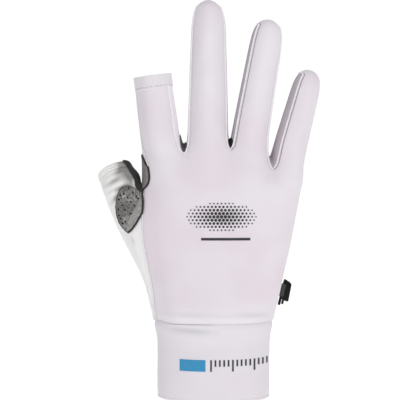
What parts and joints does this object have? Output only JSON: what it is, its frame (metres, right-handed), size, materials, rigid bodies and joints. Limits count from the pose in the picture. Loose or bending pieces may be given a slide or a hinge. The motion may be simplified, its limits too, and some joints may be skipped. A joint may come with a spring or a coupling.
{
  "type": "fishing glove",
  "caption": "Right-hand fishing glove in thin stretch cloth with an open index finger and thumb, perforated grip patches, a long wrist band and a small side clip.",
  "frame": {"origin": "middle of the cuff's mouth, where the hand goes in", "axes": "+Z from the cuff to the fingertips, +X to the little-finger side, -Y the back of the hand"},
  "size_m": [0.1257, 0.0458, 0.2224],
  "materials": {
    "lavender_cloth": "smooth stretch knit with a soft sheen, pale lavender grey",
    "white_cloth": "thin white stretch knit",
    "grip": "matt dark grey grip sheet, perforated over the thumb web",
    "webbing": "black woven webbing",
    "black_plastic": "satin moulded black plastic"
  },
  "bodies": {
    "root": {"back_panel": "lavender_cloth", "palm_panel": "white_cloth", "fourchette_index_middle": "lavender_cloth", "fourchette_middle_ring": "lavender_cloth", "fourchette_ring_little": "lavender_cloth", "thumb_sleeve": "white_cloth", "cuff": "lavender_cloth", "index_hem": "lavender_cloth", "thumb_hem": "white_cloth", "web_grip_patch": "grip", "thumb_grip_patch": "grip", "palm_grip_patch": "grip", "clip_strap": "webbing", "clip_buckle": "black_plastic"}
  },
  "joints": []
}
